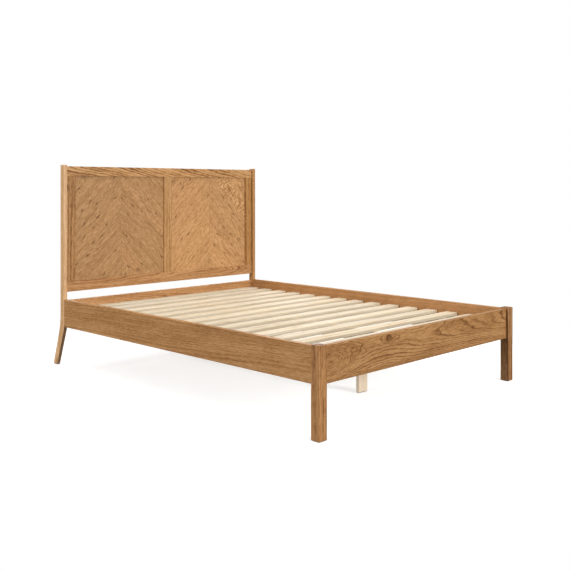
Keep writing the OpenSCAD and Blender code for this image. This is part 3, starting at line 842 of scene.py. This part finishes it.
def thread_rings(radius, z0, z1, pitch, depth):
    """Radii and heights of a helical thread between two heights, run out at both ends."""
    rings = []
    count = int((z1 - z0) / pitch * THREAD_STEPS)
    for k in range(count + 1):
        z = z0 + (z1 - z0) * k / count
        fade = min(1.0, k / THREAD_STEPS, (count - k) / THREAD_STEPS)

        def helix(share, z=z, fade=fade):
            crest = abs(((z / pitch - share) % 1.0) * 2 - 1)
            return radius - depth * fade * crest

        rings.append((helix, z))
    return rings


def drive_outline(sides, size):
    """A cross for 4 sides, or a regular socket, as points round the Z axis."""
    if sides == 4:
        arm, half = size, size * 0.26
        corner = [(arm, -half), (arm, half), (half, half)]
        turns = [Matrix.Rotation(math.radians(90 * q), 2) for q in range(4)]
        return [turn @ Vector(point) for turn in turns for point in corner]
    angles = [2 * math.pi * i / sides for i in range(sides)]
    return [Vector((size * math.cos(a), size * math.sin(a))) for a in angles]


def cut_drive(bm, place, rim, z, sides, size, depth):
    """Closes a head's top with a tapered drive recess inside its rim."""
    taper = 0.72
    levels = []
    for scale, drop in ((1.0, 0.0), (taper, depth)):
        outline = drive_outline(sides, size * scale)
        levels.append([bm.verts.new(place @ Vector((p.x, p.y, z - drop))) for p in outline])
    edges = []
    for loop in (rim, levels[0]):
        for here, after in zip(loop, loop[1:] + loop[:1]):
            edges.append(bm.edges.get((here, after)) or bm.edges.new((here, after)))
    bmesh.ops.triangle_fill(bm, edges=edges, use_beauty=True, use_dissolve=False)
    join_loops(bm, levels[1], levels[0])
    bm.faces.new(levels[1])


def add_fastener(bm, kind, points, spin):
    """One screw or bolt over the CAD solid's own place, Z towards its head."""
    (tip, radius), (top, wide) = rod_ends(points)
    way = (top - tip).normalized()
    turn = way.to_track_quat("Z", "Y").to_matrix().to_4x4() @ Matrix.Rotation(spin, 4, "Z")
    place = Matrix.Translation(tip) @ turn
    length = (top - tip).length
    neck = length - kind.head * MM
    rings = [(radius * 0.35, 0.0), (radius * 0.75, 1.2 * MM)]    # a blunt point
    for start, end, pitch, depth in kind.threads:
        z0 = max(start * MM, 1.3 * MM)
        z1 = min(end * MM, neck - 0.6 * MM)
        rings += thread_rings(radius, z0, z1, pitch * MM, depth * MM)
    if kind.head:
        rings.append((radius, neck - 0.1 * MM))
    if kind.wall < 0:
        rings += [(wide * 0.97, length - 0.25 * MM), (wide, length - 0.12 * MM)]
        rings.append((wide * 0.97, length))
    elif kind.head:
        head = kind.head * MM
        rings += [(wide * 0.96, neck), (wide, neck + 0.12 * head)]
        rings.append((wide, neck + kind.wall * head))
        for share in (0.35, 0.7, 1.0):
            angle = share * math.pi / 2
            inwards = wide * (1 - (1 - kind.flat) * (1 - math.cos(angle)))
            upwards = head * (kind.wall + (1 - kind.wall) * math.sin(angle))
            rings.append((inwards, neck + upwards))
    else:
        rings.append((radius * kind.flat, length))
    loops = [add_ring(bm, place, r, z) for r, z in rings]
    bm.faces.new(list(reversed(loops[0])))
    for lower, upper in zip(loops, loops[1:]):
        join_loops(bm, lower, upper)
    if kind.drive:
        size = wide * (0.50 if kind.drive == 4 else 0.38)
        cut_drive(bm, place, loops[-1], length, kind.drive, size, kind.head * MM * 0.6)
    else:
        bm.faces.new(loops[-1])


def add_fasteners(node, kind, dice):
    """All the screws or bolts of one node, each turned its own way."""
    bm = bmesh.new()
    for points in islands(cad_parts[node].data):
        add_fastener(bm, kind, points, dice.uniform(0, math.pi))
    bmesh.ops.recalc_face_normals(bm, faces=bm.faces)
    for face in bm.faces:
        face.smooth = True
    mesh = finished(bm, f"{node}_zinc")
    mesh.set_sharp_from_angle(angle=CREASE)
    return add_object(f"{node}_zinc", mesh)


def add_fittings():
    """Steel fittings with softened edges, and the glides under the legs."""
    zinc = zinc_material()
    dice = random.Random(FITTINGS_SEED)
    for node in PLATE_NODES:
        piece = refine(node, "zinc", 0.3 * MM, 0.4 * MM)
        piece.data.materials.append(zinc)
        stand_in(piece, node)
    for node, kind in FASTENERS.items():
        piece = add_fasteners(node, kind, dice)
        piece.data.materials.append(zinc)
        stand_in(piece, node)
    glides = refine("floor_glides", "plastic", 0.6 * MM, 0.4 * MM)
    glides.data.materials.append(plastic_material())
    stand_in(glides, "floor_glides")


# ---- stage ----


def add_floor():
    """A pale disc that takes soft shadows and fades into the white surround. It can't be seen from
    below, and it throws no light back up under the bed."""
    bm = bmesh.new()
    bmesh.ops.create_circle(bm, cap_ends=True, segments=96, radius=FLOOR_END)
    mesh = finished(bm, "floor")
    material = bpy.data.materials.new("floor")
    n = Nodes(material)
    place = n.add("TexCoord").outputs["Object"]
    grain = n.noise(place, (30, 30, 30), 3.0)
    level = n.remap(grain, 0.3, 0.7, FLOOR_WHITE - 0.01, FLOOR_WHITE + 0.01)
    bump = n.add("Bump", {"Height": grain, "Distance": 0.2 * MM, "Strength": 0.5})
    white = n.combine(level, level, level)
    paint = n.add("BsdfDiffuse", {"Color": white, "Normal": bump.outputs[0]})
    glow = n.add("Emission", {"Strength": FLOOR_GLOW})
    solid = n.add("AddShader", {0: paint.outputs[0], 1: glow.outputs[0]})
    clear = n.add("BsdfTransparent")
    gone = n.remap(n.vector("LENGTH", place), FLOOR_CLEAR, FLOOR_END)
    below = n.add("NewGeometry").outputs["Backfacing"]
    bounced = n.math("SUBTRACT", 1.0, n.add("LightPath").outputs["Is Camera Ray"])
    fade = n.math("MAXIMUM", n.math("MAXIMUM", gone, below), bounced)
    blend = n.add("MixShader", {0: fade, 1: solid.outputs[0], 2: clear.outputs[0]})
    n.add("OutputMaterial", {"Surface": blend.outputs[0]})
    mesh.materials.append(material)
    add_object("floor", mesh)


add_camera()
add_lamps()
add_floor()
add_oak()
add_panels()
add_pine()
add_dowels()
add_fittings()

bpy.context.view_layer.update()
